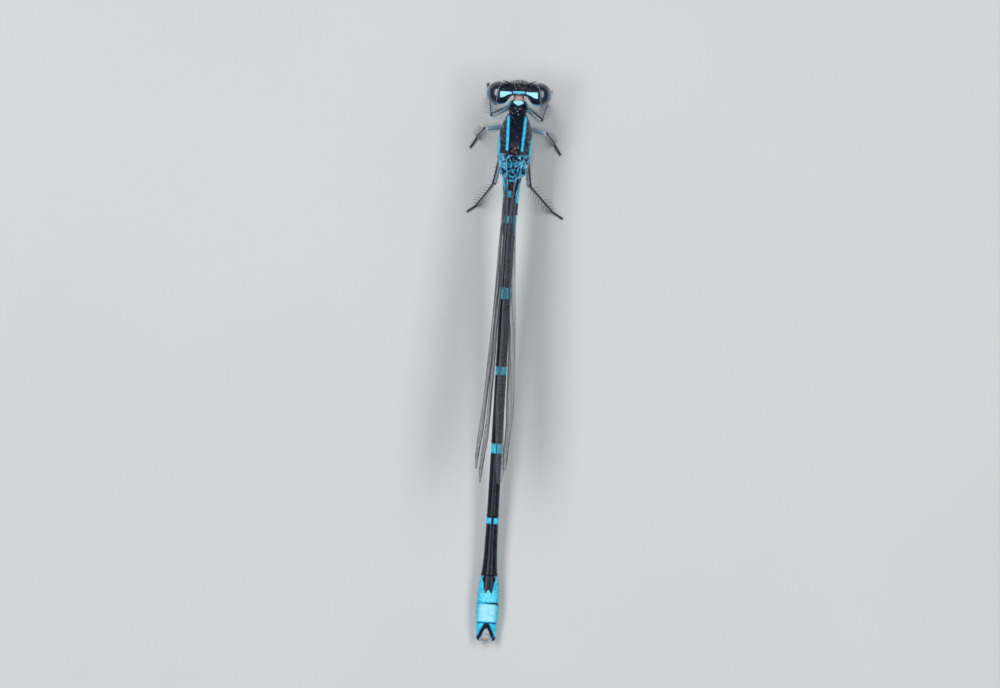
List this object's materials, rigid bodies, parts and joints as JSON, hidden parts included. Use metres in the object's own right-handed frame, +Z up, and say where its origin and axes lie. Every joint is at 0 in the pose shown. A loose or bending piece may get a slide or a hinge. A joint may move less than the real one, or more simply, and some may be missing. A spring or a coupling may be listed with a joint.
{
  "type": "damselfly",
  "caption": "Slim male bluet damselfly at rest on its legs, wings closed over a long black abdomen ringed with blue, as a still life-size model.",
  "frame": {"origin": "middle of the underside of the whole, on the floor it stands on", "axes": "+Z up, +Y towards the head, +X to the insect's right"},
  "size_m": [0.006, 0.0342, 0.0063],
  "materials": {
    "black_cuticle": "black insect cuticle with a blue gloss",
    "blue_cuticle": "bright blue insect cuticle with black markings",
    "compound_eye": "black compound eye with blue rims, wet gloss",
    "wing_membrane": "clear smoky membrane with dark veins",
    "leg_cuticle": "blue-grey and black legs with fine black spines"
  },
  "bodies": {
    "root": {"head": "black_cuticle", "eye_left": "compound_eye", "eye_right": "compound_eye", "antenna_left": "black_cuticle", "antenna_right": "black_cuticle", "prothorax": "black_cuticle", "thorax": "blue_cuticle", "abdomen_1_2": "blue_cuticle", "abdomen_3": "black_cuticle", "abdomen_4": "black_cuticle", "abdomen_5": "black_cuticle", "abdomen_6": "black_cuticle", "abdomen_7": "black_cuticle", "abdomen_8": "blue_cuticle", "abdomen_9": "blue_cuticle", "abdomen_10": "black_cuticle", "wing_fore_left": "wing_membrane", "wing_fore_right": "wing_membrane", "wing_hind_left": "wing_membrane", "wing_hind_right": "wing_membrane", "leg_front_left_thigh": "leg_cuticle", "leg_front_left_shin": "leg_cuticle", "leg_front_right_thigh": "leg_cuticle", "leg_front_right_shin": "leg_cuticle", "leg_mid_left_thigh": "leg_cuticle", "leg_mid_left_shin": "leg_cuticle", "leg_mid_right_thigh": "leg_cuticle", "leg_mid_right_shin": "leg_cuticle", "leg_hind_left_thigh": "leg_cuticle", "leg_hind_left_shin": "leg_cuticle", "leg_hind_right_thigh": "leg_cuticle", "leg_hind_right_shin": "leg_cuticle"}
  },
  "joints": []
}
